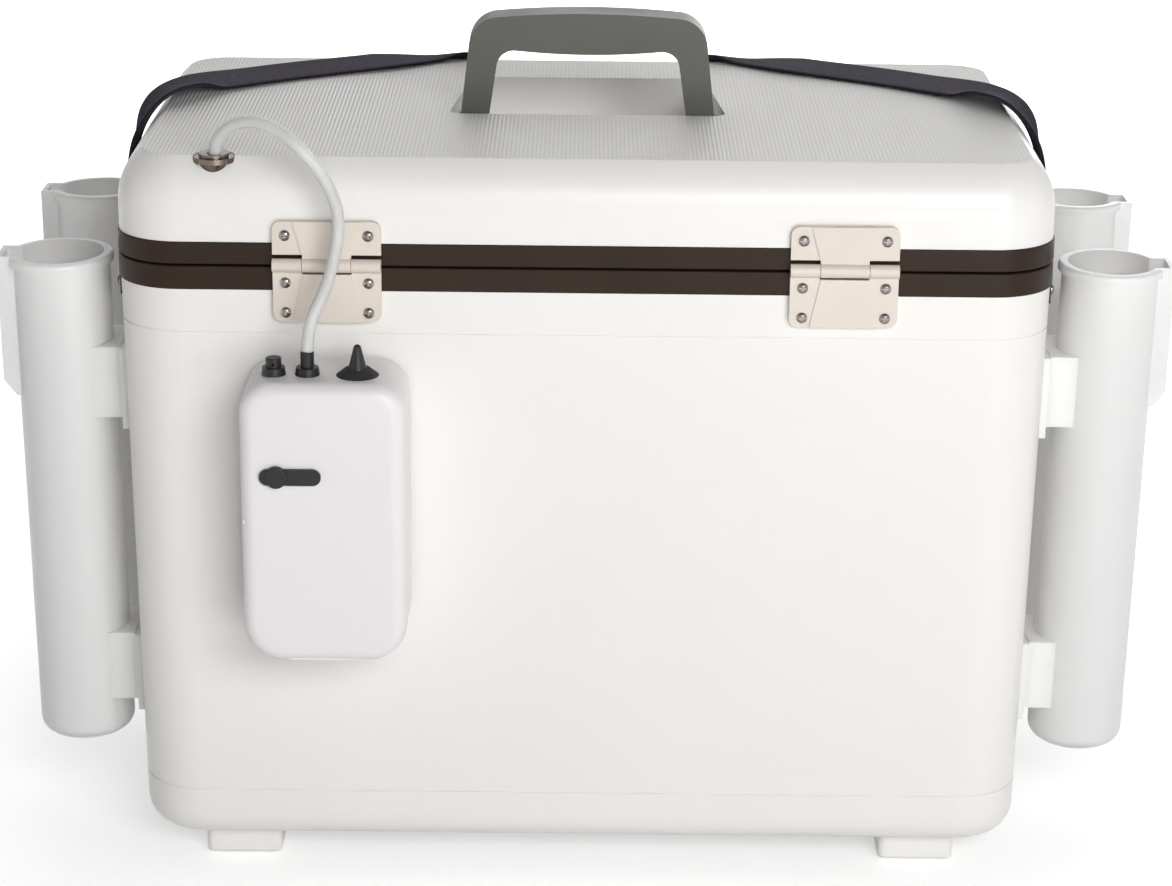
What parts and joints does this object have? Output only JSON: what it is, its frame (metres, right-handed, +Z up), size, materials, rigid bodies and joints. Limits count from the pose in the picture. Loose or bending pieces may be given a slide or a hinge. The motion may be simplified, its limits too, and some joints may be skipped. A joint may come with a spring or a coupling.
{
  "type": "insulated live bait box with air pump",
  "caption": "Insulated live-bait box with hinged lid, folding handle, clip-on battery air pump and hose, shoulder strap and slide-on rod tubes.",
  "frame": {"origin": "on the ground under the middle of the box", "axes": "+Z up, +X along the long side, +Y from the hinges towards the latches"},
  "size_m": [0.603, 0.3369, 0.4345],
  "materials": {
    "white_plastic": "glossy",
    "tube_plastic": "satin",
    "pump_plastic": "glossy",
    "liner_plastic": "satin",
    "brown_band": "satin",
    "beige_hinge": "satin",
    "grey_handle": "satin",
    "black_plastic": "satin",
    "black_rubber": "matte",
    "gasket_rubber": "matte",
    "clear_hose": "glossy",
    "webbing": "matte",
    "grommet_metal": "polished",
    "steel": "polished",
    "foam": "matte",
    "stone": "matte",
    "cell_wrap": "satin"
  },
  "bodies": {
    "box": {"outer_shell": "white_plastic", "body_foam": "foam", "inner_liner": "liner_plastic", "lower_band": "brown_band", "feet": "white_plastic", "hinge_lower_leaf_left": "beige_hinge", "hinge_lower_leaf_right": "beige_hinge", "hinge_pins": "steel", "hinge_screws_lower": "steel", "rod_receivers": "tube_plastic", "receiver_screws": "steel", "strap_clamp_left": "black_plastic", "strap_clamp_right": "black_plastic", "strap_clamp_screws": "steel", "shoulder_strap": "webbing", "latch_catch_left": "beige_hinge", "latch_catch_right": "beige_hinge", "catch_screws": "steel", "pump_bracket": "pump_plastic", "bracket_screws": "steel", "pump_back_cover": "pump_plastic", "pump_front_case": "pump_plastic", "pump_screws": "steel", "d_cells": "cell_wrap", "battery_contacts": "steel", "pump_motor": "steel", "pump_diaphragm": "black_rubber", "pump_valve_block": "black_plastic", "jack_socket": "black_plastic", "outlet_nozzle": "black_plastic", "spare_outlet_cap": "black_plastic", "switch_boot": "black_rubber", "switch_body": "black_plastic", "air_hose": "clear_hose", "air_stone": "stone"},
    "lid": {"lid_shell": "white_plastic", "lid_foam": "foam", "lid_liner": "liner_plastic", "upper_band": "brown_band", "lid_gasket": "gasket_rubber", "hinge_upper_leaf_left": "beige_hinge", "hinge_upper_leaf_right": "beige_hinge", "hinge_screws_upper": "steel", "lid_grommet": "grommet_metal", "handle_pins": "steel", "latch_plate_left": "beige_hinge", "latch_plate_right": "beige_hinge", "latch_pins": "steel", "latch_screws": "steel"},
    "handle": {"handle": "grey_handle"},
    "latch_left": {"latch_flap_left": "beige_hinge"},
    "latch_right": {"latch_flap_right": "beige_hinge"},
    "switch_lever": {"switch_lever": "black_rubber"},
    "jack_cover": {"jack_cover": "pump_plastic"},
    "eccentric": {"pump_eccentric": "black_plastic"},
    "rod_near_left": {"rod_holder_near_left": "tube_plastic"},
    "rod_far_left": {"rod_holder_far_left": "tube_plastic"},
    "rod_near_right": {"rod_holder_near_right": "tube_plastic"},
    "rod_far_right": {"rod_holder_far_right": "tube_plastic"}
  },
  "joints": [
    {"name": "lid_hinge", "type": "hinge", "parent": "box", "child": "lid", "pos_m": [0, -0.1374, 0.331], "axis": [1, 0, 0], "range_deg": [0, 100], "deforming": ["air_hose", "shoulder_strap"]},
    {"name": "handle_fold", "type": "hinge", "parent": "lid", "child": "handle", "pos_m": [0, -0.007, 0.37], "axis": [-1, 0, 0], "range_deg": [0, 90]},
    {"name": "latch_left_flap", "type": "hinge", "parent": "lid", "child": "latch_left", "pos_m": [-0.1275, 0.1394, 0.3485], "axis": [1, 0, 0], "range_deg": [-8, 110]},
    {"name": "latch_right_flap", "type": "hinge", "parent": "lid", "child": "latch_right", "pos_m": [0.1275, 0.1394, 0.3485], "axis": [1, 0, 0], "range_deg": [-8, 110]},
    {"name": "switch_toggle", "type": "hinge", "parent": "box", "child": "switch_lever", "pos_m": [-0.111, -0.163, 0.285], "axis": [0, 1, 0], "range_deg": [-15, 15]},
    {"name": "jack_cover_swing", "type": "hinge", "parent": "box", "child": "jack_cover", "pos_m": [-0.15, -0.183, 0.2368], "axis": [0, 1, 0], "range_deg": [0, 100]},
    {"name": "eccentric_spin", "type": "hinge", "parent": "box", "child": "eccentric", "pos_m": [-0.1315, -0.16, 0.2375], "axis": [1, 0, 0], "continuous": true},
    {"name": "rod_near_left_lift", "type": "slide", "parent": "box", "child": "rod_near_left", "axis": [-0.0122, -0.0227, 0.9997], "range_m": [0, 0.02]},
    {"name": "rod_far_left_lift", "type": "slide", "parent": "box", "child": "rod_far_left", "axis": [-0.0122, 0.0227, 0.9997], "range_m": [0, 0.02]},
    {"name": "rod_near_right_lift", "type": "slide", "parent": "box", "child": "rod_near_right", "axis": [0.0122, -0.0227, 0.9997], "range_m": [0, 0.02]},
    {"name": "rod_far_right_lift", "type": "slide", "parent": "box", "child": "rod_far_right", "axis": [0.0122, 0.0227, 0.9997], "range_m": [0, 0.02]}
  ]
}
